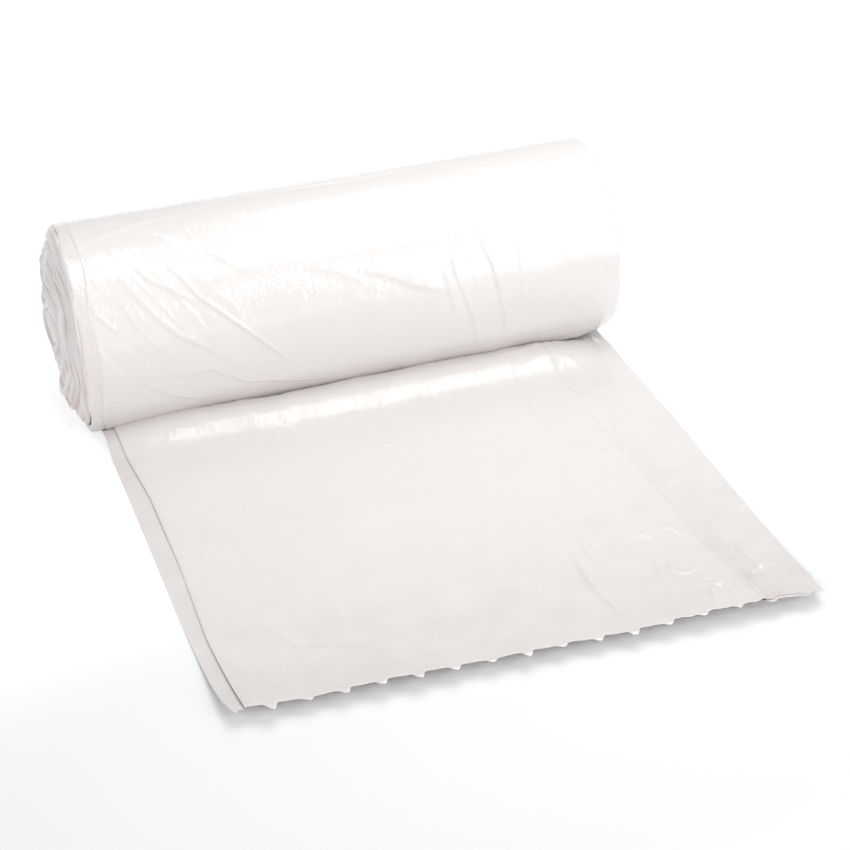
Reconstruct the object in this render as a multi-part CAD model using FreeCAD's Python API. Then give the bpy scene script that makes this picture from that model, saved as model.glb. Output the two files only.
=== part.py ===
"""A roll of bin bags lying on its side, with the leading bag pulled out flat.

The film is one continuous web: a tube laid flat, folded to a quarter of its
width and wound with no core. The roll and the leading bag are one solid.
X runs along the roll, -Y is towards the torn edge of the leading bag, and
+Z is up. The origin is on the floor, at the middle of the roll's flat spot.
All sizes are in millimetres.
"""

import math
import os

import FreeCAD
import Part

# The wound roll.
ROLL_LENGTH = 254.0
ROLL_DIAMETER = 95.0
FLAT_SPOT_WIDTH = 17.0
LEFT_BULGE = 8.5  # how far the inner turns have slid out past the left rim
RIGHT_HOLLOW = 6.0  # and in from the right rim, where the loose folds puff out
END_FLAT_RADIUS = 31.0  # inside this radius the turns have all slid as far

# The turns that show at the roll's two ends.
TURN_PITCH = 5.0  # a bunch of film turns that hold together
TURN_GAP = 0.7
TURN_GAP_DEPTH = 4.0  # at the rim
EYE_WIDTH = 13.0  # the collapsed middle of the roll
EYE_HEIGHT = 5.0
EYE_DEPTH = 16.0

# The leading bag.
WEB_WIDTH = 247.0
BAG_REACH = 258.0  # from the roll's axis to the torn edge
BAG_SKEW_DEG = 1.5  # how far the bag is pulled round towards +X
TEAR_SLANT_DEG = 2.0  # how far the torn edge runs out towards +X
BASE_PLY = 0.6
COVER_PLY = 0.5
TUCK_PLY = 0.4
COVER_INSET = 6.5  # the cover's fold lies this far inside the base's left edge
TUCK_WIDTH = 213.0  # the tucked fold reaches this far from the cover's edge

# The torn line of perforations.
TEAR_PITCH = 14.6
TIE_LENGTH = 3.2  # a drawn-out film tie
TIE_WIDTH = 4.6
TIE_TIP = (0.55, 0.8)  # the blunt tip's ends, as shares of the tie's width
TEAR_SAG = 1.3  # the edge between two ties leans by this much
PLY_SETBACK = 1.2  # each ply is torn this far behind the ply below it
PLY_SHIFT = 0.9

# The torn edge curls up off the floor.
CURL_LENGTH = 48.0
CURL_RISE = 4.5

ROLL_RADIUS = ROLL_DIAMETER / 2
SAG = ROLL_RADIUS - math.sqrt(ROLL_RADIUS**2 - (FLAT_SPOT_WIDTH / 2) ** 2)
AXIS_Z = ROLL_RADIUS - SAG
WEB_THICKNESS = BASE_PLY + COVER_PLY + TUCK_PLY
BAG_ROOT = FLAT_SPOT_WIDTH / 2 - 2.0  # the bag starts this far in front of the axis
LEFT_EDGE = -WEB_WIDTH / 2 + 1.0
SPARE = 20.0  # how far a cutting tool runs past what it cuts


def point(x, y, z):
    return FreeCAD.Vector(x, y, z)


def arc(start, middle, end):
    return Part.Arc(start, middle, end).toShape()


def line(start, end):
    return Part.LineSegment(start, end).toShape()


def face(edges):
    return Part.Face(Part.Wire(edges))


def spiral_gap_face(x):
    """The section of the gap between turns: half circles with two centres in turn."""
    first_radius = AXIS_Z - WEB_THICKNESS - TURN_GAP / 2
    last_radius = EYE_WIDTH / 2 + TURN_PITCH / 2
    half_turns = int((first_radius - last_radius) / (TURN_PITCH / 2))
    inner, outer = [], []
    for i in range(half_turns):
        radius = first_radius - i * TURN_PITCH / 2
        centre_z = AXIS_Z + (i % 2) * TURN_PITCH / 2
        side = 1 if i % 2 == 0 else -1
        for edges, r in ((inner, radius - TURN_GAP / 2), (outer, radius + TURN_GAP / 2)):
            start, end = point(x, 0, centre_z - side * r), point(x, 0, centre_z + side * r)
            edges.append(arc(start, point(x, side * r, centre_z), end))
    ends = [
        line(inner[k].Vertexes[k].Point, outer[k].Vertexes[k].Point) for k in (0, -1)
    ]
    return face([ends[0], *outer, ends[1], *reversed(inner)])


def roll_section(x):
    """The roll's outline: one turn of web that winds in by its own thickness."""
    front_radius = ROLL_RADIUS - WEB_THICKNESS / 2
    front_z = AXIS_Z + WEB_THICKNESS / 2
    notch_y = -math.sqrt(front_radius**2 - (front_z - WEB_THICKNESS) ** 2)
    top = point(x, 0, AXIS_Z + ROLL_RADIUS)
    back_foot = point(x, FLAT_SPOT_WIDTH / 2, 0)
    notch = point(x, notch_y, WEB_THICKNESS)
    foot = point(x, notch_y, 0)
    back = arc(back_foot, point(x, ROLL_RADIUS, AXIS_Z), top)
    front = arc(top, point(x, -front_radius, front_z), notch)
    return face([back, front, line(notch, foot), line(foot, back_foot)])


def end_outline(x, depth):
    """Half an end from the axis to the rim: a flat middle that stands to the left of the rim."""
    past_rim = ROLL_RADIUS + SPARE
    slope = depth / (ROLL_RADIUS - END_FLAT_RADIUS)
    return [
        point(x - depth, 0, AXIS_Z),
        point(x - depth, 0, AXIS_Z + END_FLAT_RADIUS),
        point(x + slope * SPARE, 0, AXIS_Z + past_rim),
    ]


def slipped_ends():
    """A round body whose left end stands out in the middle, and whose right end is hollowed."""
    left_end = end_outline(-ROLL_LENGTH / 2, LEFT_BULGE)
    right_end = end_outline(ROLL_LENGTH / 2, RIGHT_HOLLOW)
    corners = left_end + right_end[::-1]
    outline = face([line(corners[i - 1], corners[i]) for i in range(len(corners))])
    return outline.revolve(point(0, 0, AXIS_Z), point(1, 0, 0), 360)


def eye_face(x):
    """The section of the flattened hole where the first turn was wound."""
    left, right = point(x, -EYE_WIDTH / 2, AXIS_Z), point(x, EYE_WIDTH / 2, AXIS_Z)
    top, bottom = (point(x, 0, AXIS_Z + s * EYE_HEIGHT / 2) for s in (1, -1))
    return face([arc(left, top, right), arc(right, bottom, left)])


def between(section, start, end):
    """A section carried along the roll from one place to another."""
    return section(start).extrude(point(end - start, 0, 0))


def rim_step():
    """Round the left rim the cover's fold stops short of the base's, as on the bag."""
    start = -ROLL_LENGTH / 2 - SPARE
    width = SPARE + COVER_INSET
    axis, along = point(start, 0, AXIS_Z), point(1, 0, 0)
    outside = Part.makeCylinder(ROLL_RADIUS + SPARE, width, axis, along)
    return outside.cut(Part.makeCylinder(ROLL_RADIUS - COVER_PLY, width, axis, along))


def wound_roll():
    left, right = -ROLL_LENGTH / 2, ROLL_LENGTH / 2
    body = roll_section(left - SPARE).extrude(point(ROLL_LENGTH + 2 * SPARE, 0, 0))
    body = body.common(slipped_ends())
    left_face, right_face = left - LEFT_BULGE, right - RIGHT_HOLLOW
    left_gap = between(spiral_gap_face, left_face - SPARE, left + TURN_GAP_DEPTH)
    right_gap = between(spiral_gap_face, right_face - TURN_GAP_DEPTH, right + SPARE)
    left_eye = between(eye_face, left_face - SPARE, left_face + EYE_DEPTH)
    right_eye = between(eye_face, right_face - EYE_DEPTH, right + SPARE)
    return body.cut([left_gap, right_gap, left_eye, right_eye, rim_step()])


def ply_section(bottom, thickness):
    """A ply seen from the side: flat on the floor, then curled up at its end."""
    x = -WEB_WIDTH
    curl_radius = (CURL_LENGTH**2 + CURL_RISE**2) / (2 * CURL_RISE)
    angle = math.asin(CURL_LENGTH / curl_radius)
    curl_start = -(BAG_REACH + TIE_LENGTH - CURL_LENGTH)
    past_end = 1.4 * angle

    def on_curl(height, share):
        radius = curl_radius - height
        turn = past_end * share
        return point(x, curl_start - radius * math.sin(turn), curl_radius - radius * math.cos(turn))

    top = bottom + thickness
    low_root, high_root = point(x, -BAG_ROOT, bottom), point(x, -BAG_ROOT, top)
    low = [on_curl(bottom, s) for s in (0, 0.5, 1)]
    high = [on_curl(top, s) for s in (0, 0.5, 1)]
    return face(
        [
            line(low_root, low[0]),
            arc(*low),
            line(low[2], high[2]),
            arc(*reversed(high)),
            line(high[0], high_root),
            line(high_root, low_root),
        ]
    )


def torn_edge(left, right, setback, shift):
    """The torn line from left to right: short film ties with a leaning edge between them."""
    slant = math.tan(math.radians(TEAR_SLANT_DEG))

    def at(x, out):
        return point(x, -(BAG_REACH - setback + out) - slant * x, 0)

    count = int((right - left) / TEAR_PITCH)
    margin = (right - left - count * TEAR_PITCH) / 2
    edges = []
    here = at(left, 0)
    for i in range(count):
        tie_start = left + margin + shift + (i + 1) * TEAR_PITCH - TIE_WIDTH
        foot, back_foot = at(tie_start, TEAR_SAG), at(tie_start + TIE_WIDTH, 0)
        tips = [at(tie_start + share * TIE_WIDTH, TIE_LENGTH) for share in TIE_TIP]
        edges += [line(here, foot), line(foot, tips[0]), line(tips[0], tips[1]), line(tips[1], back_foot)]
        here = back_foot
    edges.append(line(here, at(right, 0)))
    return edges


def ply(bottom, thickness, left, right, setback, shift):
    """One folded ply of the bag: its side section, cut to the outline seen from above."""
    skew = math.tan(math.radians(BAG_SKEW_DEG))
    reach = BAG_REACH + TIE_LENGTH + SPARE
    stock = ply_section(bottom, thickness).extrude(point(2 * WEB_WIDTH, 0, 0))
    front = torn_edge(left + skew * BAG_REACH, right + skew * BAG_REACH, setback, shift)
    left_root, right_root = point(left, 0, 0), point(right, 0, 0)
    left_front, right_front = front[0].Vertexes[0].Point, front[-1].Vertexes[-1].Point
    outline = face(
        [line(left_root, left_front), *front, line(right_front, right_root), line(right_root, left_root)]
    )
    outline.translate(point(0, 0, -SPARE))
    return stock.common(outline.extrude(point(0, 0, reach)))


def leading_bag():
    """The base ply, the cover folded over it and the fold that is tucked inside."""
    right_edge = LEFT_EDGE + WEB_WIDTH
    cover_left = LEFT_EDGE + COVER_INSET
    base = ply(0, BASE_PLY, LEFT_EDGE, right_edge, 0, 0)
    cover = ply(BASE_PLY, COVER_PLY, cover_left, right_edge, PLY_SETBACK, PLY_SHIFT)
    tuck_right = cover_left + TUCK_WIDTH
    tuck_bottom = BASE_PLY + COVER_PLY
    tuck = ply(tuck_bottom, TUCK_PLY, cover_left, tuck_right, 2 * PLY_SETBACK, -PLY_SHIFT)
    return [base, cover, tuck]


def bag_roll():
    return wound_roll().fuse(leading_bag()).removeSplitter()


os.makedirs("parts", exist_ok=True)
solid = bag_roll()
solid.exportStep("parts/bag_roll.step")
print("bag_roll", len(solid.Solids), "solid,", round(solid.Volume / 1000), "cm3, valid:", solid.isValid())
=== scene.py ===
# %% [markdown]
# # A roll of bin bags
#
# The real thing is one long tube of thin white film. It is laid flat, folded to a quarter of its
# width and wound up with no core. Here it lies on its side, and the leading bag is pulled out flat
# towards the viewer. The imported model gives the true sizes, and this script gives the film its
# folds, creases, torn edge and finish.

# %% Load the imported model
import math

import bpy
import numpy as np
from mathutils import Matrix, Vector


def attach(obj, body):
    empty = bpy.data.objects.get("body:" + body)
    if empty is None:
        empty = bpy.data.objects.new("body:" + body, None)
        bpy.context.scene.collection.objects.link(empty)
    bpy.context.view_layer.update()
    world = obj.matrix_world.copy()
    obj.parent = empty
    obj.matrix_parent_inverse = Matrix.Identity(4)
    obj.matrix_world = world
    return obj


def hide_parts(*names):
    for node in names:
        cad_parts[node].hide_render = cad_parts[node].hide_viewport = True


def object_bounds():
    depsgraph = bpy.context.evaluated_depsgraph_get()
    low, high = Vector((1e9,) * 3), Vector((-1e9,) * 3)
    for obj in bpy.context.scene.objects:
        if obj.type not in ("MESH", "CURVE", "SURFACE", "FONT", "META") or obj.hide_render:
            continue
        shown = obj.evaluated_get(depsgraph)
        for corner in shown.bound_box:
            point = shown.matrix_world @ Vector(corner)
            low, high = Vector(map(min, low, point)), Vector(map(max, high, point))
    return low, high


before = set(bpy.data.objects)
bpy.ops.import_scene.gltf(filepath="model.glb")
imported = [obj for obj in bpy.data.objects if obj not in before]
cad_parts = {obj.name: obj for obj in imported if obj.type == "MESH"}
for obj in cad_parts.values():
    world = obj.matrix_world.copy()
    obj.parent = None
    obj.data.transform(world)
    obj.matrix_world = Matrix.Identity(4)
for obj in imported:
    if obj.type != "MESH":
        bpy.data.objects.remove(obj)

cad_low, cad_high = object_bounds()
MM = 0.001

# %% [markdown]
# ## Sizes
#
# The roll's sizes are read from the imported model, so the film lies where the solid is. A roll of
# soft film is never a true cylinder: this one is a little thicker at its left end.

# %% Sizes of the roll and the bag
HALF_LENGTH = 127.0
RADIUS = 47.5
TAPER = 0.55
AXIS_HEIGHT = cad_high.z / MM - RADIUS
WEB_THICKNESS = 1.5
LEFT_BULGE = cad_low.x / -MM - HALF_LENGTH
print("roll axis height", round(AXIS_HEIGHT, 2), "mm, left bulge", round(LEFT_BULGE, 2), "mm")

# %% [markdown]
# ## Camera
#
# The camera stands in front of the roll and a little to its left, and looks down at 30 degrees.
# It is leaned over by a few degrees, as a camera held in the hand is. A tracking constraint could
# aim it, but keeps it upright, so its three directions are worked out from the angles.

# %% Place the camera
CAMERA_AZIMUTH = math.radians(-14.6)
CAMERA_ELEVATION = math.radians(30.39)
CAMERA_LEAN = math.radians(-3.85)
CAMERA_DISTANCE = 1.095
CAMERA_TARGET = Vector((0.0208, -0.070, 0.0))
SENSOR_MM = 36.0
FOCAL_MM = 100.84

back = Vector(
    (
        math.sin(CAMERA_AZIMUTH) * math.cos(CAMERA_ELEVATION),
        -math.cos(CAMERA_AZIMUTH) * math.cos(CAMERA_ELEVATION),
        math.sin(CAMERA_ELEVATION),
    )
)
level_right = Vector((0, 0, 1)).cross(back).normalized()
level_up = back.cross(level_right)
right = level_right * math.cos(CAMERA_LEAN) + level_up * math.sin(CAMERA_LEAN)
up = back.cross(right)
turn = Matrix((right, up, back)).transposed().to_4x4()
camera = bpy.data.objects.new("camera", bpy.data.cameras.new("camera"))
bpy.context.scene.collection.objects.link(camera)
camera.matrix_world = Matrix.Translation(CAMERA_TARGET + back * CAMERA_DISTANCE) @ turn
camera.data.sensor_width = SENSOR_MM
camera.data.lens = FOCAL_MM
bpy.context.scene.camera = camera
print("camera at", [round(c, 3) for c in camera.location])

# %% [markdown]
# ## Light
#
# White film on white shows its shape only by soft grey shading and by broad white reflections.
# Two soft boxes hang above, a wide one over the right half and a narrow one over the left. One
# stands in front on the right and one on the left, and an even pale surround fills the shadows.

# %% Hang the soft boxes
WATTS_PER_AREA = 4


def soft_box(name, place, aim, width, height, radiance, turned=0.0):
    """A flat lamp that faces a point. Its power follows from its area and how bright it looks."""
    lamp = bpy.data.lights.new(name, "AREA")
    lamp.shape = "RECTANGLE"
    lamp.size, lamp.size_y = width, height
    lamp.energy = radiance * WATTS_PER_AREA * width * height
    box = bpy.data.objects.new(name, lamp)
    bpy.context.scene.collection.objects.link(box)
    direction = Vector(place) - Vector(aim)
    facing = direction.to_track_quat("Z", "Y").to_matrix().to_4x4()
    turn = Matrix.Rotation(math.radians(turned), 4, "Z")
    box.matrix_world = Matrix.Translation(place) @ facing @ turn
    print(name, width, "by", height, "m, facing", aim)
    return box


soft_box("top_box", (0.21, -0.02, 0.60), (0.21, -0.02, 0.0), 0.35, 0.78, 1.9, turned=-5)
soft_box("top_left_box", (-0.09, -0.07, 0.62), (-0.09, -0.07, 0.0), 0.15, 0.32, 2.3)
soft_box("front_box", (0.98, -1.50, 0.64), (0.05, -0.05, 0.04), 1.22, 1.56, 2.2)
soft_box("side_box", (-1.15, -0.85, 0.80), (0.0, -0.05, 0.04), 1.00, 1.00, 1.6)

# %% [markdown]
# The surround is dim, so that it fills the shadows only. The camera and reflections see a white
# one in its place, which stands for the white walls of a studio.

# %% Light the surround
SURROUND = 0.33
world = bpy.data.worlds.new("surround")
bpy.context.scene.world = world
world.use_nodes = True
nodes, links = world.node_tree.nodes, world.node_tree.links
surround = nodes["Background"]
surround.inputs["Color"].default_value = (1.0, 1.0, 1.0, 1.0)
surround.inputs["Strength"].default_value = SURROUND
backdrop = nodes.new("ShaderNodeBackground")
backdrop.inputs["Strength"].default_value = 1.0
backdrop.inputs["Color"].default_value = (1.0, 1.0, 1.0, 1.0)


def seen_directly(nodes, links):
    """1 where a ray comes from the camera, from a reflection or through glass, and 0 elsewhere."""
    path = nodes.new("ShaderNodeLightPath")
    seen = path.outputs["Is Camera Ray"]
    for other in ("Is Glossy Ray", "Is Transmission Ray"):
        either = nodes.new("ShaderNodeMath")
        either.operation = "MAXIMUM"
        links.new(seen, either.inputs[0])
        links.new(path.outputs[other], either.inputs[1])
        seen = either.outputs["Value"]
    return seen


mix = nodes.new("ShaderNodeMixShader")
links.new(seen_directly(nodes, links), mix.inputs["Fac"])
links.new(surround.outputs["Background"], mix.inputs[1])
links.new(backdrop.outputs["Background"], mix.inputs[2])
links.new(mix.outputs["Shader"], nodes["World Output"].inputs["Surface"])
print("surround of strength", SURROUND)

# %% [markdown]
# ## Floor
#
# The floor is a pale sheet of paper. It keeps the soft shadow of the bag, and a little light of
# its own, seen only by the camera and in reflections, takes the rest of it to white. That light
# is weakest round the torn edge, where the shadow falls, and strongest far away. Stronger lamps
# would whiten the floor too, but they would also bleach the film.

# %% Lay the floor
bpy.ops.object.select_all(action="DESELECT")
FLOOR_WIDTH = 12.0
bpy.ops.mesh.primitive_plane_add(size=FLOOR_WIDTH, location=(0, 0, 0))
floor = bpy.context.object
floor.name = "floor"
print("floor", floor.dimensions.x, "m wide")

# %% Mix the floor's paper and the glow on it
FLOOR_COLOUR = (0.95, 0.957, 0.975, 1.0)
FLOOR_GLOW = 0.0
FAR_GLOW = 0.50
HORIZON_GLOW = 0.6
SHADOW_OUT = 0.29
SHADOW_HALF_WIDTH = 0.27
SHADOW_HALF_DEPTH = 0.12
GLOW_STARTS, GLOW_FULL = 0.7, 1.9
HORIZON_STARTS, HORIZON_FULL = 0.5, 1.5
paper = bpy.data.materials.new("floor_paper")
paper.use_nodes = True
nodes, links = paper.node_tree.nodes, paper.node_tree.links
matte = nodes["Principled BSDF"]
matte.inputs["Base Color"].default_value = FLOOR_COLOUR
matte.inputs["Roughness"].default_value = 1.0
matte.inputs["Specular IOR Level"].default_value = 0.0
glow = nodes.new("ShaderNodeEmission")
place = nodes.new("ShaderNodeTexCoord")
around_edge = nodes.new("ShaderNodeMapping")
around_edge.inputs["Location"].default_value = (0.0, SHADOW_OUT / SHADOW_HALF_DEPTH, 0.0)
around_edge.inputs["Scale"].default_value = (1 / SHADOW_HALF_WIDTH, 1 / SHADOW_HALF_DEPTH, 0.0)
away = nodes.new("ShaderNodeVectorMath")
away.operation = "LENGTH"
spread = nodes.new("ShaderNodeMapRange")
spread.interpolation_type = "SMOOTHSTEP"
spread.inputs["From Min"].default_value = GLOW_STARTS
spread.inputs["From Max"].default_value = GLOW_FULL
spread.inputs["To Min"].default_value = FLOOR_GLOW
spread.inputs["To Max"].default_value = FAR_GLOW
links.new(place.outputs["Object"], around_edge.inputs["Vector"])
links.new(around_edge.outputs["Vector"], away.inputs[0])
links.new(away.outputs["Value"], spread.inputs["Value"])
outward = nodes.new("ShaderNodeVectorMath")
outward.operation = "LENGTH"
far_off = nodes.new("ShaderNodeMapRange")
far_off.inputs["From Min"].default_value = HORIZON_STARTS
far_off.inputs["From Max"].default_value = HORIZON_FULL
far_off.inputs["To Max"].default_value = HORIZON_GLOW
glow_sum = nodes.new("ShaderNodeMath")
glow_sum.operation = "ADD"
links.new(place.outputs["Object"], outward.inputs[0])
links.new(outward.outputs["Value"], far_off.inputs["Value"])
links.new(spread.outputs["Result"], glow_sum.inputs[0])
links.new(far_off.outputs["Result"], glow_sum.inputs[1])
links.new(glow_sum.outputs["Value"], glow.inputs["Strength"])
print("floor glow from", FLOOR_GLOW, "to", FAR_GLOW + HORIZON_GLOW)

# %% Add the glow to the paper, for the camera and reflections only
none = nodes.new("ShaderNodeEmission")
none.inputs["Strength"].default_value = 0.0
glow_or_none = nodes.new("ShaderNodeMixShader")
links.new(seen_directly(nodes, links), glow_or_none.inputs["Fac"])
links.new(none.outputs["Emission"], glow_or_none.inputs[1])
links.new(glow.outputs["Emission"], glow_or_none.inputs[2])
both = nodes.new("ShaderNodeAddShader")
links.new(matte.outputs["BSDF"], both.inputs[0])
links.new(glow_or_none.outputs["Shader"], both.inputs[1])
links.new(both.outputs["Shader"], nodes["Material Output"].inputs["Surface"])
floor.data.materials.append(paper)
print("floor has", floor.data.materials[0].name)

# %% [markdown]
# ## The film's finish
#
# The film is white polyethylene, 20 thousandths of a millimetre thick, with many layers lying on
# each other. It is smooth and glossy, but the fine crinkle in it breaks up the edge of every
# reflection into grains. So the gloss is a clear coat with a grain of its own, over an even white.
# Every point of the film also says how many layers lie beneath it, because one film alone lets
# light through and looks darker. A translucent material could show that by itself, but only with
# every inner layer modelled. Painted shade is added to the same value, in gaps, low down and along
# rims and steps, and a painted highlight along the torn edge. The folds at the roll's ends are
# matter, and painted deeper in colour for the shade that lies on them.

# %% Mix the film material
FULL_WHITE = (0.790, 0.762, 0.748, 1.0)
THIN_WHITE = (0.725, 0.680, 0.660, 1.0)
# painted shade: a darker, pinker white for the folds at the roll's ends, which lie in shade
FOLD_SHADE_WHITE = (0.680, 0.595, 0.570, 1.0)
# painted shade: the colour of the deepest painted shade, in gaps, low down and at rims
SHADE_PAINTED_WHITE = (0.600, 0.505, 0.480, 1.0)
THIN_AT, FULL_AT = 0.30, 0.87
FILM_COAT_IOR = 1.62
CLOUD_SHARE = 0.8


def film(name, thin, roughness, grain, creases):
    """White film: cloudy, whiter where more layers lie together, darker where shade is painted, under a
    grainy gloss.
    """
    material = bpy.data.materials.new(name)
    material.use_nodes = True
    nodes, links = material.node_tree.nodes, material.node_tree.links
    shader = nodes["Principled BSDF"]
    shader.inputs["Specular IOR Level"].default_value = 0.0
    shader.inputs["Coat Weight"].default_value = 1.0
    shader.inputs["Coat IOR"].default_value = FILM_COAT_IOR
    shader.inputs["Coat Roughness"].default_value = roughness
    place = nodes.new("ShaderNodeTexCoord")

    def noise(scale, detail):
        texture = nodes.new("ShaderNodeTexNoise")
        texture.inputs["Scale"].default_value = scale
        texture.inputs["Detail"].default_value = detail
        links.new(place.outputs["Object"], texture.inputs["Vector"])
        return texture.outputs["Fac"]

    def bump(height, distance, under=None):
        node = nodes.new("ShaderNodeBump")
        node.inputs["Distance"].default_value = distance * MM
        links.new(height, node.inputs["Height"])
        if under:
            links.new(under, node.inputs["Normal"])
        return node.outputs["Normal"]

    # the layers value holds how much film lies beneath, with painted shade and painted highlights added
    # to it
    layers = nodes.new("ShaderNodeAttribute")
    layers.attribute_name = "layers"
    cloudy = nodes.new("ShaderNodeMath")
    cloudy.operation = "MULTIPLY_ADD"
    links.new(noise(55, 4), cloudy.inputs[0])
    cloudy.inputs[1].default_value = CLOUD_SHARE
    links.new(layers.outputs["Fac"], cloudy.inputs[2])
    clouds = nodes.new("ShaderNodeValToRGB")
    clouds.color_ramp.elements[0].position = 0.0
    clouds.color_ramp.elements[0].color = SHADE_PAINTED_WHITE
    clouds.color_ramp.elements[1].position = FULL_AT
    clouds.color_ramp.elements[1].color = FULL_WHITE
    clouds.color_ramp.elements.new(THIN_AT).color = thin
    links.new(cloudy.outputs["Value"], clouds.inputs["Fac"])
    links.new(clouds.outputs["Color"], shader.inputs["Base Color"])

    sheen = nodes.new("ShaderNodeMapRange")
    sheen.inputs["To Min"].default_value = 0.35
    sheen.inputs["To Max"].default_value = 0.55
    links.new(noise(160, 3), sheen.inputs["Value"])
    links.new(sheen.outputs["Result"], shader.inputs["Roughness"])

    creased = bump(noise(230, 2), creases)
    links.new(creased, shader.inputs["Normal"])
    links.new(bump(noise(620, 0.5), grain, creased), shader.inputs["Coat Normal"])
    return material


film_finish = film("white_film", THIN_WHITE, roughness=0.08, grain=0.15, creases=0.035)
# the ends' finish is matter than the film, and painted darker as shade
shaded_folded_finish = film("shaded_folded_film", FOLD_SHADE_WHITE, roughness=0.32, grain=0.03, creases=0.03)
print("made", film_finish.name, "and", shaded_folded_finish.name)

# %% [markdown]
# ## How a sheet is shaped
#
# Each piece of film starts as a flat grid, as a sheet is before it is wound or laid down. Its
# points are then moved in code, all at once, which is how film takes a curve and a crease at the
# same time.

# %% Helpers for laying a flat grid and moving its points
def flat_grid(name, columns, rows):
    """A flat square sheet, one unit wide, and each point's share across it and along it."""
    bpy.ops.object.select_all(action="DESELECT")
    bpy.ops.mesh.primitive_grid_add(x_subdivisions=columns, y_subdivisions=rows, size=1.0)
    sheet = bpy.context.object
    sheet.name = name
    sheet.data.name = name
    flat = np.zeros(len(sheet.data.vertices) * 3)
    sheet.data.vertices.foreach_get("co", flat)
    flat = flat.reshape(-1, 3)
    return sheet, np.clip(flat[:, 0] + 0.5, 0, 1), np.clip(flat[:, 1] + 0.5, 0, 1)


def move_points(sheet, x, y, z):
    """Moves every point of the sheet to its place, given in millimetres."""
    places = np.stack([x, y, z], axis=1) * MM
    sheet.data.vertices.foreach_set("co", places.ravel())
    sheet.data.update()


def set_layers_and_painted_light(sheet, layers):
    """Says for every point how full of film the place beneath it is, from 0 to 1, with painted shade and
    painted highlights added.
    """
    values = np.zeros(len(sheet.data.vertices)) + layers
    field = sheet.data.attributes.new("layers", "FLOAT", "POINT")
    field.data.foreach_set("value", values)


# %% [markdown]
# Film that has been handled is never quite smooth. Soft swells, a net of fine ridges and single
# creases give it that, each as a height to be added to the others. A cloth simulation could make
# some of it, but not each crease in the place where the real roll has it.

# %% Helpers for swells and creases
SWELLS_A_SIDE = 97  # the swells repeat after this many


def swells(u, v, size, seed):
    """Smooth random heights from -1 to 1, in swells about one size wide."""
    table = np.random.default_rng(seed).uniform(-1, 1, (SWELLS_A_SIDE, SWELLS_A_SIDE))
    column, row = np.floor(u / size), np.floor(v / size)
    across, along = u / size - column, v / size - row
    across, along = across**2 * (3 - 2 * across), along**2 * (3 - 2 * along)
    column, row = column.astype(int), row.astype(int)

    def corner(i, j):
        return table[(column + i) % SWELLS_A_SIDE, (row + j) % SWELLS_A_SIDE]

    near = corner(0, 0) * (1 - across) + corner(1, 0) * across
    far = corner(0, 1) * (1 - across) + corner(1, 1) * across
    return near * (1 - along) + far * along


def crinkle(u, v, size, seed):
    """A net of sharp low ridges with flat film between them, from 0 to 1."""
    wander_u = u + 0.5 * size * swells(u, v, 1.7 * size, seed + 1)
    wander_v = v + 0.5 * size * swells(u, v, 1.7 * size, seed + 2)
    return (1 - np.abs(swells(wander_u, wander_v, size, seed))) ** 4


def crease(u, v, points, ridge, step, width):
    """A crease along a line of points: a ridge, a step down to the line's right, or both."""
    nearest = np.full(u.shape, np.inf)
    signed, share = np.zeros(u.shape), np.zeros(u.shape)
    points = np.array(points, float)
    spans = np.linalg.norm(np.diff(points, axis=0), axis=1)
    total, before = spans.sum(), 0.0
    for start, end, span in zip(points, points[1:], spans):
        along = (end - start) / span
        du, dv = u - start[0], v - start[1]
        reach = np.clip(du * along[0] + dv * along[1], 0, span)
        off_u, off_v = du - reach * along[0], dv - reach * along[1]
        distance = np.hypot(off_u, off_v)
        closer = distance < nearest
        nearest = np.where(closer, distance, nearest)
        side = np.sign(along[0] * off_v - along[1] * off_u)
        signed = np.where(closer, side * distance, signed)
        share = np.where(closer, (before + reach) / total, share)
        before += span
    fade = np.sqrt(np.clip(np.sin(np.pi * np.clip(share, 0.02, 0.98)), 0, 1))
    bump = ridge * np.exp(-((nearest / width) ** 2))
    slope = step * np.tanh(signed / width) * np.exp(-nearest / (7 * width))
    return fade * (bump + slope)


middle = crease(np.array([5.0]), np.array([0.0]), [(0, 0), (10, 0)], ridge=1, step=0, width=1)
print("a ridge 1 mm high stands", round(middle[0], 2), "mm at its middle")

# %% [markdown]
# ## Creases on the roll
#
# The outer turn was pulled askew when the bag was drawn out, so slanting creases run across it
# from the top left, and short ones run round it near the right end. Each is a line of points:
# the first number is the place along the roll, and the second how far up the front it lies, in
# degrees above the level of the axis.

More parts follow.
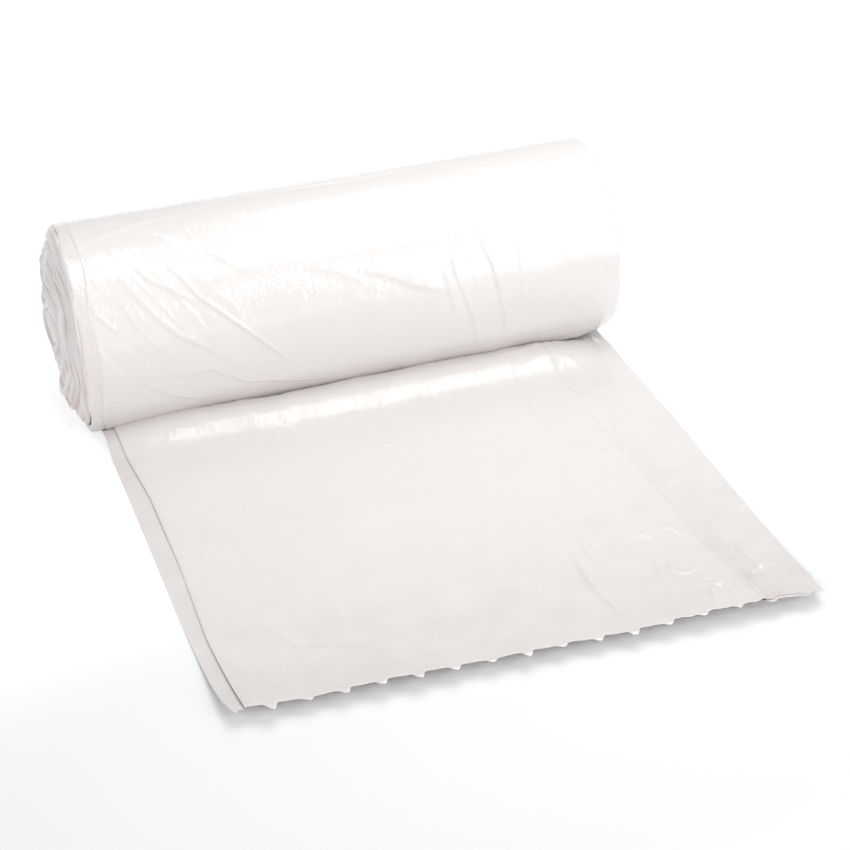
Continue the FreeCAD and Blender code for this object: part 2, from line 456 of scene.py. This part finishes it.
# %% List the creases on the roll
ROLL_CREASES = [
    # points, ridge, step, width in millimetres
    ([(-98, 86), (-88, 79), (-74, 64), (-61, 52), (-50, 40)], 0.10, 0.35, 1.4),
    ([(-50, 40), (-40, 36), (-23, 36), (-7, 29), (4, 20)], 0.00, 0.30, 2.2),
    (
        [(-84, 53), (-79, 45), (-72, 31), (-66, 24), (-57, 13), (-48, 2), (-39, -10), (-31, -22)],
        0.55, 0.2, 0.9,
    ),
    ([(-99, 56), (-92, 44), (-83, 36), (-73, 28)], 0.30, 0.25, 1.0),
    ([(-105, 49), (-99, 36), (-92, 23), (-84, 12), (-73, 3), (-64, -7), (-57, -16)], 0.35, 0.3, 1.5),
    ([(-121, 44), (-118, 30), (-111, 20), (-105, 13)], 0.25, 0.2, 1.1),
    ([(-108, 40), (-103, 24), (-97, 12), (-90, 2)], 0.20, 0.1, 1.2),
    (
        [(-107, -7), (-96, -10), (-81, -14), (-71, -13), (-64, -19), (-55, -29), (-41, -34), (-21, -44)],
        0.35, 0.3, 1.2,
    ),
    ([(-109, -12), (-102, -14), (-94, -24), (-85, -33), (-74, -40)], 0.25, 0.2, 1.1),
    ([(3, 29), (16, 22), (27, 15), (40, 9)], 0.15, 0.35, 1.4),
    ([(61, 42), (62, 30), (65, 19), (67, 3), (69, -13), (73, -41)], 0.40, 0.25, 0.9),
    ([(80, 41), (79, 29), (79, 16), (79, 4), (78, -16), (80, -50)], 0.35, -0.25, 1.0),
    ([(47, 32), (47, 17), (50, 4), (53, -9), (58, -38), (57, -60)], 0.35, 0.2, 0.9),
    ([(42, 22), (43, 7), (46, -8)], 0.20, 0.15, 0.9),
    ([(-56, 97), (-30, 98), (7, 95), (51, 96)], 0.45, 0.3, 1.5),
    ([(-122, 70), (-108, 78), (-92, 84), (-70, 88)], 0.25, 0.2, 1.4),
    ([(62, 88), (75, 80), (96, 76), (112, 74)], 0.15, 0.15, 1.6),
    ([(-112, 116), (-70, 127), (-15, 133), (40, 127)], 0.35, 0.25, 1.6),
    ([(12, 146), (48, 156), (92, 151), (118, 158)], 0.25, 0.30, 1.5),
    ([(-96, 168), (-52, 181), (-8, 176)], 0.30, 0.20, 1.4),
    ([(70, 118), (75, 146), (73, 181), (77, 214)], 0.35, 0.20, 1.1),
    ([(-88, 204), (-30, 214), (24, 208), (60, 217)], 0.25, -0.25, 1.6),
]
print(len(ROLL_CREASES), "creases on the roll")

# %% [markdown]
# The relief adds those creases to the film's swells and crinkle. Where the film is pulled askew, on
# the left, its fine crinkle slants, and at the right it runs round the roll.

# %% Work out the relief of the roll's film
BACK_FOOT = 262.0
FRONT_FOOT = -80.0
TUCKED_END = -94.0
HANGS_BELOW = -38.0
CREASE_NARROWING = 0.85


def roll_relief(x, lift):
    """How far the film stands off the round of the roll, in millimetres."""
    around = np.radians(lift) * RADIUS
    height = 0.30 * swells(x, around, 38.0, 11) + 0.14 * swells(x, around, 15.0, 12)
    height += 0.10 * crinkle(x, around, 16.0, 21) + 0.05 * crinkle(x, around, 7.0, 31)
    for points, ridge, step, width in ROLL_CREASES:
        line = [(place, math.radians(degrees) * RADIUS) for place, degrees in points]
        height += crease(x, around, line, ridge, step, CREASE_NARROWING * width)
    low_bulge = np.exp(-(((x - 66) / 9) ** 2) - (((lift + 62) / 16) ** 2))
    height += 1.1 * low_bulge
    slant_across, slant_along = 0.55 * around + 0.83 * x, 0.83 * around - 0.55 * x
    pulled = np.clip((-30 - x) / 50, 0, 1) * np.clip(1 - ((lift - 30) / 75) ** 2, 0, 1)
    height += pulled * 0.16 * crinkle(slant_across, slant_along / 7, 7.0, 22)
    height += pulled * 0.07 * swells(slant_across, slant_along / 6, 3.2, 23)
    hoop = np.clip((x - 20) / 30, 0, 1) * np.clip(1 - ((lift + 5) / 75) ** 2, 0, 1)
    height += hoop * 0.10 * crinkle(x, around / 8, 8.0, 24)
    return height


def roll_radius(x):
    return RADIUS - TAPER * x / HALF_LENGTH


def axis_height(x):
    """The roll rests on the floor all along, so its axis is lower where it is thinner."""
    return roll_radius(x) - (RADIUS - AXIS_HEIGHT)


def winding_in(lift):
    """The last turn winds in by the web's own thickness, from the top down to the front's foot."""
    return WEB_THICKNESS * np.clip((90 - lift) / (90 - FRONT_FOOT), 0, 1)


def round_the_roll(x, lift, inset):
    """Places points on the roll, from their place along it and their height up its front."""
    angle = np.radians(lift)
    hanging = np.radians(np.clip(HANGS_BELOW - lift, 0, 20))
    hanging *= np.clip((HALF_LENGTH - x) / 16, 0, 1) ** 0.5
    tucked = np.clip((lift - FRONT_FOOT) / 18, 0, 1)
    radius = roll_radius(x) * (1 + (1 / np.cos(hanging) - 1) * tucked) - inset
    y = -radius * np.cos(angle)
    z = axis_height(x) + radius * np.sin(angle)
    return y, z


print("roll radius", roll_radius(-HALF_LENGTH), "to", roll_radius(HALF_LENGTH), "mm")

# %% [markdown]
# ## The outer turn
#
# The film's last full turn leaves the floor behind the roll, goes over the top and tucks in at
# the foot of the front. Low down at the front the loose film hangs almost straight. Its left side
# is a fold, set in from the rim. Its right side is a fold too, which bends in over the end. A
# cylinder could stand for it, but it would have no start, no end and no folded sides. So the sheet
# is wound as one grid whose first and last columns turn inwards.

# %% Wind the outer turn
COVER_INSET = 6.5
RIM_WAVE = 1.0
OUTER_LOWEST = 1.3


def along_profile(share, corners):
    """Carries a share from 0 to 1 along a line of (place along the roll, depth in) corners."""
    shares, places, depths = zip(*corners)
    return np.interp(share, shares, places), np.interp(share, shares, depths)


cover_profile = [
    (0.000, -HALF_LENGTH + COVER_INSET, 0.32),
    (0.006, -HALF_LENGTH + COVER_INSET + 0.3, 0.12),
    (0.012, -HALF_LENGTH + COVER_INSET + 0.9, 0.0),
    (0.970, HALF_LENGTH - 1.4, 0.0),
    (0.978, HALF_LENGTH - 0.5, 0.35),
    (0.986, HALF_LENGTH, 1.2),
    (1.000, HALF_LENGTH - 0.4, 3.2),
]
outer_turn, across, along = flat_grid("outer_turn", 300, 325)
x, depth = along_profile(across, cover_profile)
lift = BACK_FOOT + (TUCKED_END - BACK_FOOT) * along
edge_wave = RIM_WAVE * swells(lift, lift * 0, 30, 5) * (across < 0.02)
relief = roll_relief(x, lift) * np.clip((HALF_LENGTH - x) / 12, 0, 1) ** 0.5
y, z = round_the_roll(x, lift, depth + winding_in(lift) - relief)
move_points(outer_turn, x + edge_wave, y, np.maximum(z, OUTER_LOWEST))
# painted shade: the outer turn's colour darkens in a thin line along its right rim
painted_rim_shade = np.clip(1 - (HALF_LENGTH - 0.3 - x) / 1.2, 0, 1)
set_layers_and_painted_light(outer_turn, 0.75 - 0.9 * painted_rim_shade)
print("outer turn", len(outer_turn.data.polygons), "faces")

# %% [markdown]
# ## The turn beneath it
#
# The base ply of the same turn lies under the cover and shows as a band along the left rim,
# where it bends in over the end. It could be a strip as wide as the band, but then the film's edge
# would end in the air beneath the cover. So it is wound whole, with most of its columns within
# 12 mm of that rim.

# %% Wind the turn beneath
COVER_THICKNESS = 0.3
RIM_BAND = 12.0
UNDER_LOWEST = 0.9
base_profile = [
    (0.000, -HALF_LENGTH + 1.5, 4.0),
    (0.060, -HALF_LENGTH + 0.2, 2.2),
    (0.100, -HALF_LENGTH, 1.0),
    (0.140, -HALF_LENGTH + 0.4, 0.3),
    (0.200, -HALF_LENGTH + 1.4, 0.0),
    (0.600, -HALF_LENGTH + 12.0, 0.0),
    (0.950, HALF_LENGTH - 3.0, 0.0),
    (1.000, HALF_LENGTH - 2.0, 3.0),
]
under_turn, across, along = flat_grid("under_turn", 60, 240)
x, depth = along_profile(across, base_profile)
lift = BACK_FOOT + (TUCKED_END - BACK_FOOT) * along
near_rim = np.clip((-HALF_LENGTH + RIM_BAND - x) / RIM_BAND, 0, 1)
relief = 0.5 * roll_relief(x, lift)
relief += near_rim * (0.35 * swells(x, lift, 9, 41) + 0.2 * crinkle(x * 3, lift, 7, 43))
y, z = round_the_roll(x, lift, depth + winding_in(lift) + COVER_THICKNESS - relief)
rim_wave = near_rim * (0.7 * swells(lift, x * 0, 24, 44) + 0.3 * swells(lift, x * 0, 9, 45))
move_points(under_turn, x + rim_wave, y, np.maximum(z, UNDER_LOWEST))
set_layers_and_painted_light(under_turn, 0.2)
print("turn beneath", len(under_turn.data.polygons), "faces")

# %% [markdown]
# ## The ends
#
# At each end the folded edges of all the turns show as soft, uneven lips with dark gaps between
# them. The lips are one long strip, wound as a spiral: each turn's inner side is the next
# turn's outer side. Rings would be simpler, but each would close on itself, and real turns run on
# into the next. So a strip one turn wide is laid as a grid, crowned across, and then wound up
# from the roll's foot inwards. A small pocket closes the flattened eye in the middle.

# %% Say how the ends stand out, and how the turns lie near the eye
GAP_DEPTH = 1.3
EYE_POCKET = 6.5
END_RADIUS = 47.0  # inside this radius the turns have slid
EYE_SQUASH = 0.5
SQUASHED_RADIUS = 16.0


def flatten_eye(radius):
    """The turns near the middle are squashed flat: how much wider and lower they lie."""
    squash = EYE_SQUASH * np.clip(1 - radius / SQUASHED_RADIUS, 0, 1)
    return 1 + squash, 1 - squash


def gap_depth(radius):
    """The gaps between lips are shallower near the eye, where the turns are pressed together."""
    return GAP_DEPTH * np.clip(radius / 12, 0.3, 1)


def end_lumps(y, z, seed):
    """Large swells where many turns have slid out or in together."""
    return 1.4 * swells(y, z, 17.0, seed + 7)


def eye_pocket(name, side, face_at, seed, roughness):
    """The film that closes the eye, between the innermost lips."""
    pocket, across, along = flat_grid(name, 48, 10)
    angle, radius = across * 2 * np.pi, EYE_POCKET * along
    wider, lower = flatten_eye(radius)
    depth = gap_depth(radius) + 0.1 - 0.2 * (1 - along**2)
    x = side * HALF_LENGTH - face_at(radius) - side * depth
    y = -radius * np.cos(angle) * wider
    z = axis_height(side * HALF_LENGTH) + radius * np.sin(angle) * lower
    move_points(pocket, x + side * roughness * end_lumps(y, z, seed), y, z)
    set_layers_and_painted_light(pocket, 0.4)
    return pocket


def left_face(radius):
    return 0.6 + (LEFT_BULGE - 0.9) * (1 - np.clip(radius / END_RADIUS, 0, 1) ** 3.2)


def right_face(radius):
    return 0.8 + 5.5 * (1 - np.clip(radius / END_RADIUS, 0, 1) ** 2.5)


print("left end stands out", round(left_face(0), 2), "mm, right end is hollowed by", right_face(0), "mm")

# %% [markdown]
# The strip starts at the foot of the rim and follows the winding inwards. Its outer side and its
# inner side are one turn apart on the same line, so neighbouring turns meet in a gap and leave no
# hole. The crown across it makes each turn a rounded lip, and slow swells along it make the lips
# stand out and in. At one place low down at the front, the lips have been pressed flat. Shade is
# painted into their colour, darker low down and in the gaps between them.

# %% Wind the lips of the turns at both ends
LIP_PITCH = 3.9
ROWS_A_TURN = 200
LIP_COLUMNS = 9
EYE_RADIUS = 2.4
RIM_INSET = 0.8
MERGE_MM = 0.02


def wound_lips(name, side, face_at, seed, roughness):
    """The spiral of lips at one end. face_at gives how far the lips lie to the left of the rim."""
    rim = roll_radius(side * HALF_LENGTH) - RIM_INSET
    turns = int((rim - EYE_RADIUS) / LIP_PITCH) + 1
    lips, across, along = flat_grid(name, LIP_COLUMNS, ROWS_A_TURN * turns)
    angle = math.radians(FRONT_FOOT) + along * turns * 2 * np.pi

    def wound_length(turned):
        return 2 * np.pi * turned * (rim - LIP_PITCH * turned / 2)

    def gap_radius(angle):
        turned = (angle - math.radians(FRONT_FOOT)) / (2 * np.pi)
        lift = (np.degrees(angle) + 90) % 360 - 90
        inside = np.clip(turned - 1, 0, None)
        radius = rim - winding_in(lift) * np.exp(-inside) - LIP_PITCH * inside
        length = wound_length(turned)
        wobble = 1.2 * swells(length, turned * 0, 21.0, seed)
        wobble += 0.4 * swells(length, turned * 0, 7.0, seed + 1)
        return radius + wobble * np.clip(inside, 0, 1) * np.clip(radius / 12, 0.2, 1)

    outside, inside = gap_radius(angle), gap_radius(angle + 2 * np.pi)
    radius = outside * (1 - across) + inside * across
    middle = (outside + inside) / 2
    length = wound_length(along * turns)
    closed = np.clip(5 * turns * np.minimum(along, 1 - along), 0, 1) ** 0.5
    crown = closed * np.clip(np.sin(np.pi * across), 0, 1) ** 0.6
    waves = 1.5 * swells(length, along * 0, 25.0, seed + 2)
    waves += 0.6 * swells(length, along * 0, 10.0, seed + 3)
    waves += 0.2 * swells(length, across, 4.0, seed + 4)
    settle = np.clip((rim - middle) / LIP_PITCH, 0.2, 1)
    lift = (np.degrees(angle) + 180) % 360 - 180
    pressed = np.exp(-(((lift + 16) / 15) ** 2) - (((middle - 37) / 7) ** 2))
    pressed *= 1.5 + 0.9 * swells(length, across * 2, 5.0, seed + 5)
    x = side * HALF_LENGTH - face_at(radius) - side * gap_depth(radius) * (1 - crown)
    wider, lower = flatten_eye(radius)
    y = -radius * np.cos(angle) * wider
    z = axis_height(side * HALF_LENGTH) + radius * np.sin(angle) * lower
    lumps = end_lumps(y, z, seed) * np.clip((rim - radius) / 6, 0, 1)
    x += side * roughness * (crown * (settle * waves - pressed) + lumps)
    move_points(lips, x, y, z)
    # painted shade: the lips are darker low down and in the gaps between their crowns
    painted_low_shade = 0.65 * np.clip(0.25 - np.sin(angle), 0, 1)
    set_layers_and_painted_light(lips, 0.85 * crown - 0.05 - painted_low_shade + 0.3 * swells(length, across, 8.0, seed + 6))
    eye = eye_pocket(name + "_eye", side, face_at, seed, roughness)
    bpy.ops.object.select_all(action="DESELECT")
    eye.select_set(True)
    lips.select_set(True)
    bpy.context.view_layer.objects.active = lips
    bpy.ops.object.join()
    bpy.ops.object.mode_set(mode="EDIT")
    bpy.ops.mesh.select_all(action="SELECT")
    bpy.ops.mesh.remove_doubles(threshold=MERGE_MM * MM)
    bpy.ops.object.mode_set(mode="OBJECT")
    print(name, turns, "turns,", len(lips.data.polygons), "faces")
    return lips


left_lips = wound_lips("left_lips", -1, left_face, 61, 1.0)
right_lips = wound_lips("right_lips", 1, right_face, 71, 1.1)

# %% [markdown]
# ## The leading bag
#
# The bag lies flat in three plies that show: a base, a cover folded over it from the right, and
# a fold tucked between them. The torn edge could be cut with a boolean, but that leaves ragged
# triangles. So each ply is a grid whose last row is the torn edge itself. Its columns are close
# enough for the drawn-out ties, and about a quarter of its rows lie in a narrow band there.

# %% Draw the outline of a ply
TEAR_PITCH = 14.6
TEAR_START = -97.0
TIE_WIDTH = 5.8
TIE_LENGTH = 2.2
LEFT_FLANK, RIGHT_FLANK = 1.05, 0.65
EDGE_LEAN = 1.3
CRUMPLED_AT = 88.0  # the crushed corner's place across the bag
FRONT_EDGE = -260.2
TEAR_SLANT = math.tan(math.radians(1.6))


def skewed(points, y):
    """The place across, at a distance out from the roll, of a side drawn by a few points."""
    outs, places = zip(*points)
    return np.interp(-y, outs, places)


BASE_LEFT = [(0, -122.5), (83, -120.0), (184, -117.3), (230, -115.2), (250, -113.6), (263, -110.5)]
COVER_LEFT = [
    (0, -117.2), (35, -115.8), (60, -113.3), (86, -110.9),
    (144, -109.4), (201, -109.8), (263, -106.6),
]
RIGHT_SIDE = [
    (0, 124.2), (38, 125.7), (68, 127.2), (91, 128.0),
    (155, 129.3), (215, 130.3), (250, 130.6), (267, 129.0),
]
TUCK_RIGHT = [(0, 87.0), (35, 90.0), (68, 94.5), (110, 94.0), (153, 98.5), (200, 102.0), (263, 104.0)]


def torn_edge(x, setback):
    """Where the film ends, as y: a leaning edge with a short drawn-out tie at each perforation."""
    cell = (x - TEAR_START) / TEAR_PITCH
    tie = np.round(cell)
    pull = 1 + 0.45 * swells(tie * 3.1, tie * 0, 1.0, 101)
    off = (cell - tie) * TEAR_PITCH / TIE_WIDTH * 2
    flank = np.clip(np.minimum((off + 1) / LEFT_FLANK, (1 - off) / RIGHT_FLANK), 0, 1)
    tie_shape = (flank**2 * (3 - 2 * flank)) ** 0.75
    place = (cell - 0.2) % 1.0
    fall = np.clip((1 - place) / 0.16, 0, 1)
    lean = EDGE_LEAN * place**1.5 * fall**2 * (3 - 2 * fall)
    ragged = 0.22 * swells(x, x * 0, 1.6, 102) + 0.4 * swells(x, x * 0, 6.0, 103)
    crumpled = np.exp(-(((x - CRUMPLED_AT) / 32) ** 4))
    ragged += crumpled * 0.5 * swells(x, x * 0, 2.6, 104)
    reach = TIE_LENGTH * pull * (1 - 0.4 * crumpled) * tie_shape
    return FRONT_EDGE + setback - TEAR_SLANT * (x - TEAR_START) - lean - ragged - reach


torn = torn_edge(np.linspace(COVER_LEFT[-1][1], RIGHT_SIDE[-1][1], 200), 0.0)
print("torn edge between", round(-torn.max(), 1), "and", round(-torn.min(), 1), "mm out from the axis")

# %% [markdown]
# ## How the bag lies
#
# The film comes out from under the roll and is flat on the floor for most of its length. It
# stands up in front of the roll's foot, because it keeps some of its curl, and rises again at the
# torn edge, which casts a soft shadow. Heights at a few places, joined by a rounded line, give it
# that shape with less guesswork than a simulation of film that remembers being wound.

# %% Shape the lie of the bag
ROOT_PLACES = (-8, 0, 12, 18, 24, 28, 30.5, 33, 38, 41.5, 44.5, 47.5, 50.5, 53.5, 58, 64)
ROOT_HEIGHTS = (0.5, 0.2, 0.5, 1.5, 4.0, 6.4, 7.9, 8.6, 8.6, 7.6, 5.7, 3.5, 1.7, 0.75, 0.2, 0.0)
CURL_START, CURL_END = 205.0, 262.0
CURL_RISE = 5.8
ROUNDING = 1.6  # how far the corners of the line through the heights are rounded off


def smooth_through(value, places, heights):
    """A curve through a few points, with its corners rounded off."""
    offsets = np.linspace(-ROUNDING, ROUNDING, 9)
    return sum(np.interp(value + offset, places, heights) for offset in offsets) / len(offsets)


def bag_height(x, y):
    """The height of the film's middle layer over the floor."""
    out = -y
    rise = np.clip((out - CURL_START) / (CURL_END - CURL_START), 0, 1.2) ** 2
    waves = 1 + 0.2 * swells(x, y * 0, 45, 81) + 0.15 * np.exp(-(((x + 105) / 22) ** 2))
    fullness = 1 - 0.35 * np.clip((-80 - x) / 35, 0, 1) ** 1.5
    fullness -= 0.9 * np.clip((x - 88) / 38, 0, 1) ** 1.5
    foot = 3.0 * np.clip((-40 - x) / 60, 0, 1) - 1.2 * swells(x, y * 0, 34, 83)
    foot += 0.7 * swells(x, y / 3, 8.0, 84) + 0.3 * swells(x, y / 3, 2.4, 85)
    root = fullness * smooth_through(out + foot, ROOT_PLACES, ROOT_HEIGHTS)
    return CURL_RISE * rise * waves + root


print("the bag stands", max(ROOT_HEIGHTS), "mm high at the roll and", CURL_RISE, "mm at the torn edge")

# %% [markdown]
# The bag's creases are listed as the roll's are, but each point is a place across and a distance
# along, in millimetres. Most lie near the right corner, which was crushed when the bag in front of
# it was torn off, and where the tucked fold ends.

# %% List the creases on the bag
BAG_CREASES = [
    ([(-85, -203), (-75, -224), (-60, -230), (-50, -237), (-42, -246)], 0.59, 0.24, 2.0),
    ([(-101, -123), (-91, -139), (-80, -157), (-67, -177), (-27, -196)], 0.00, 0.30, 3.2),
    ([(82, -16), (76, -31), (72, -54), (73, -64), (69, -97)], 0.28, 0.14, 1.0),
    ([(64, -37), (79, -36), (97, -32)], 0.42, 0.12, 1.0),
    ([(70, -48), (84, -44), (98, -42)], 0.34, 0.12, 1.0),
    ([(46, -110), (59, -114), (73, -121), (88, -118)], 0.14, 0.08, 1.6),
    ([(68, -113), (66, -133), (62, -156)], 0.16, 0.08, 1.0),
    ([(48, -194), (47, -213), (47, -229), (50, -250)], 0.68, 0.18, 1.2),
    ([(53, -190), (54, -205), (55, -216)], 0.42, 0.12, 1.0),
    ([(93, -104), (100, -128), (99, -157), (102, -185)], 0.51, 0.24, 1.2),
    ([(99, -191), (101, -209), (104, -222)], 0.59, 0.12, 1.0),
    ([(72, -199), (86, -203), (97, -206)], 0.20, -0.10, 1.2),
    ([(74, -190), (86, -199), (97, -206)], 0.16, -0.08, 1.2),
    ([(89, -188), (94, -197), (97, -206)], 0.30, 0.10, 1.0),
    ([(83, -213), (81, -224), (84, -229), (90, -228), (98, -221)], 0.40, 0.20, 1.2),
    ([(79, -207), (76, -219), (75, -230)], 0.59, 0.12, 1.0),
    ([(113, -214), (114, -230), (116, -238)], 0.51, 0.12, 1.2),
    ([(109, -240), (117, -235), (125, -238)], 0.59, 0.12, 1.0),
]
print(len(BAG_CREASES), "creases on the bag")

# %% [markdown]
# Swells and crinkle lie under all the creases. They are strongest at the right side, in the crushed
# corner and in a band in front of the roll, where the film bends.

# %% Work out the relief of the bag's film
def bag_relief(x, y):
    """The creases and swells of the leading bag's top film."""
    height = 0.35 * swells(x, y, 55.0, 91) + 0.15 * swells(x, y, 20.0, 92)
    height += 0.12 * crinkle(x, y, 22.0, 93) + 0.06 * crinkle(x, y, 9.0, 94)
    for points, ridge, step, width in BAG_CREASES:
        height += crease(x, y, points, ridge, step, width)
    near_root = np.exp(-(((y + 64) / 15) ** 2))
    height += near_root * (0.10 * crinkle(x, y, 5.0, 111) + 0.05 * swells(x, y, 3.0, 112))
    right_side = np.clip((x - 55) / 30, 0, 1)
    height += right_side * 0.24 * crinkle(x / 0.8, y / 1.6, 14.0, 98)
    height += right_side * 0.15 * crinkle(x, y / 1.5, 6.0, 99)
    crushed = np.exp(-(((x - CRUMPLED_AT) / 30) ** 2) - (((y + 250) / 22) ** 2))
    height += crushed * 0.5 * crinkle(x, y / 2, 9.0, 95)
    height += crushed * 0.35 * crinkle(x + y / 3, y / 2.4, 5.0, 96)
    height += crushed * 0.25 * swells(x, y, 6.0, 97)
    return height


# %% [markdown]
# ## The three plies
#
# The same function lays all three plies, from the bottom up. The two lower ones are torn a little
# further back and sink away behind the cover's edge, so only their torn edges show. The cover is
# raised where it lies over the tucked fold, so the fold's edge shows through as a long step near
# the right side.

# %% Lay the plies
BAG_START = 7.0
BAG_REACH = 263.0
FRONT_SHARE = 0.24  # of a ply's rows, for the band along its torn edge
FRONT_BAND = 26.0
FOLDED_BACK_AT = 114.0
EDGE_DROP = 0.2
TIE_DROP = 0.2


def ply(name, grid, sides, gap, setback, sinks, folded_back=0.0):
    """One ply of the bag, a little above the ply below it. Lower plies sink away behind the edge."""
    left, right = sides
    sheet, across, along = flat_grid(name, *grid)
    rough_y = -BAG_REACH * along
    x = skewed(left, rough_y) * (1 - across) + skewed(right, rough_y) * across
    front = torn_edge(x, setback * np.clip((x + 112) / 4, 0, 1))
    front += folded_back * np.exp(-(((x - FOLDED_BACK_AT) / 10) ** 4))
    y = np.where(
        along < 1 - FRONT_SHARE,
        BAG_START + (front + FRONT_BAND - BAG_START) * along / (1 - FRONT_SHARE),
        front + FRONT_BAND - FRONT_BAND * (along - 1 + FRONT_SHARE) / FRONT_SHARE,
    )
    x = skewed(left, y) * (1 - across) + skewed(right, y) * across
    behind = np.clip((y - front - 1.5) / 6, 0, 1)
    covered = np.clip((x - skewed(COVER_LEFT, y) - 1) / 6, 0, 1)
    z = gap + bag_height(x, y) + bag_relief(x, y) - sinks * covered * behind**2 * (3 - 2 * behind)
    z -= EDGE_DROP * np.exp(-(((y - front) / 0.9) ** 2))
    return sheet, x, y, z


def finish_ply(sheet, x, y, z, lowest, layers):
    """Lets the drawn-out ties hang a little, and keeps the film off the floor."""
    past_edge = np.clip(FRONT_EDGE - 1.5 - y - TEAR_SLANT * (x - TEAR_START), 0, 4)
    move_points(sheet, x, y, np.maximum(z - TIE_DROP * past_edge, lowest))
    set_layers_and_painted_light(sheet, layers)
    print(sheet.name, len(sheet.data.polygons), "faces")


base_sides = (BASE_LEFT, RIGHT_SIDE)
bag_base, x, y, z = ply("bag_base", (330, 120), base_sides, gap=0.25, setback=0.35, sinks=0.75)
finish_ply(bag_base, x, y, z, lowest=0.12, layers=0.15)
tuck_sides = (COVER_LEFT, TUCK_RIGHT)
bag_tuck, x, y, z = ply("bag_tuck", (300, 120), tuck_sides, gap=0.36, setback=0.7, sinks=0.75)
finish_ply(bag_tuck, x, y, z, lowest=0.20, layers=0.5)

# %% [markdown]
# The cover is the sheet that shows, so it has the finest grid. It steps down where the tucked fold
# beneath it ends, stays pressed to the base at its left fold near the roll, and opens a little
# there towards the torn edge. It is whitest over the fold, where most film lies, and near the
# roll, as painted shade darkens it towards the torn edge and along the fold's step. A painted
# highlight runs along the torn edge itself.

# %% Lay the cover over them
COVER_FOLDED_BACK = 2.4
FOLD_STEP = 0.55
DEEPEST_COVER_SHADE = -0.08
cover_sides = (COVER_LEFT, RIGHT_SIDE)
bag_cover, x, y, z = ply("bag_cover", (400, 245), cover_sides, 0.55, 0.0, 0.0, COVER_FOLDED_BACK)
past_tuck = x - skewed(TUCK_RIGHT, y) - 1.2 * swells(y, y * 0, 21, 131)
over_tuck = 0.5 * (1 - np.tanh(past_tuck / 0.6))
past_root = np.clip((-y - 45) / 40, 0.25, 1)
second_line = past_tuck - 3.4 - 1.5 * swells(y, y * 0, 30, 132)
z += FOLD_STEP * over_tuck + past_root * 0.5 * np.exp(-((past_tuck / 0.8) ** 2))
z += past_root * 0.28 * np.exp(-((second_line / 0.9) ** 2))
from_fold = x - skewed(COVER_LEFT, y)
opening = np.clip((-y - 200) / 50, 0, 1)
z -= 0.32 * (1 - opening) * np.clip(1 - from_fold / 2.0, 0, 1) ** 2
z += 0.25 * opening * np.exp(-((from_fold / 12) ** 2))
from_edge = y - torn_edge(x, 0.0)
# the cover is whiter over the tucked fold, where more film lies; painted shade darkens it away from the
# roll towards the torn edge
layers = 0.75 + 0.15 * over_tuck - 0.7 * np.clip((-y - 80) / 170, 0, 1)
uneven = 0.6 + 0.4 * swells(x, y, 16.0, 133)
# fewer layers and painted shade: a darker band just right of the fold's step
layers -= 0.35 * np.exp(-(((past_tuck - 5) / 5) ** 2)) * (past_tuck > 0) * uneven
# painted shadow: a thin dark line along the fold's step, weaker near the roll
layers -= 0.25 * np.exp(-((past_tuck / 0.9) ** 2)) * past_root
# painted highlight: a thin bright line along the torn edge
layers += 0.6 * np.exp(-((from_edge / 1.0) ** 2))
finish_ply(bag_cover, x, y, z, lowest=0.35, layers=np.maximum(layers, DEEPEST_COVER_SHADE))

# %% [markdown]
# ## How large each sheet is
#
# Every piece was flat film once. A turn of the roll is as wide as the folded web and as long as
# the way round. The lips at an end are the folded edges of all the turns, gathered side by side,
# with half as much film again as the round end's own area.

# %% [markdown]
# ## Join the pieces to the model
#
# All grids but one came out with their underside up, because of the way their rows run, so their
# faces are turned over. Every piece rides on the one body and stands for the one solid.

# %% Hand the pieces over
PIECES = [outer_turn, under_turn, left_lips, right_lips, bag_base, bag_tuck, bag_cover]
TURNED_OVER = [outer_turn, under_turn, left_lips, bag_base, bag_tuck, bag_cover]
FOLDED = [left_lips, right_lips]
for piece in PIECES:
    bpy.ops.object.select_all(action="DESELECT")
    piece.select_set(True)
    bpy.context.view_layer.objects.active = piece
    bpy.ops.object.shade_smooth()
    if piece in TURNED_OVER:
        bpy.ops.object.mode_set(mode="EDIT")
        bpy.ops.mesh.select_all(action="SELECT")
        bpy.ops.mesh.flip_normals()
        bpy.ops.object.mode_set(mode="OBJECT")
    piece.data.materials.append(shaded_folded_finish if piece in FOLDED else film_finish)
    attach(piece, "root")
    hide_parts("bag_roll")
    print(piece.name, sum(len(face.vertices) - 2 for face in piece.data.polygons), "triangles")

bpy.context.scene.view_settings.view_transform = "Standard"
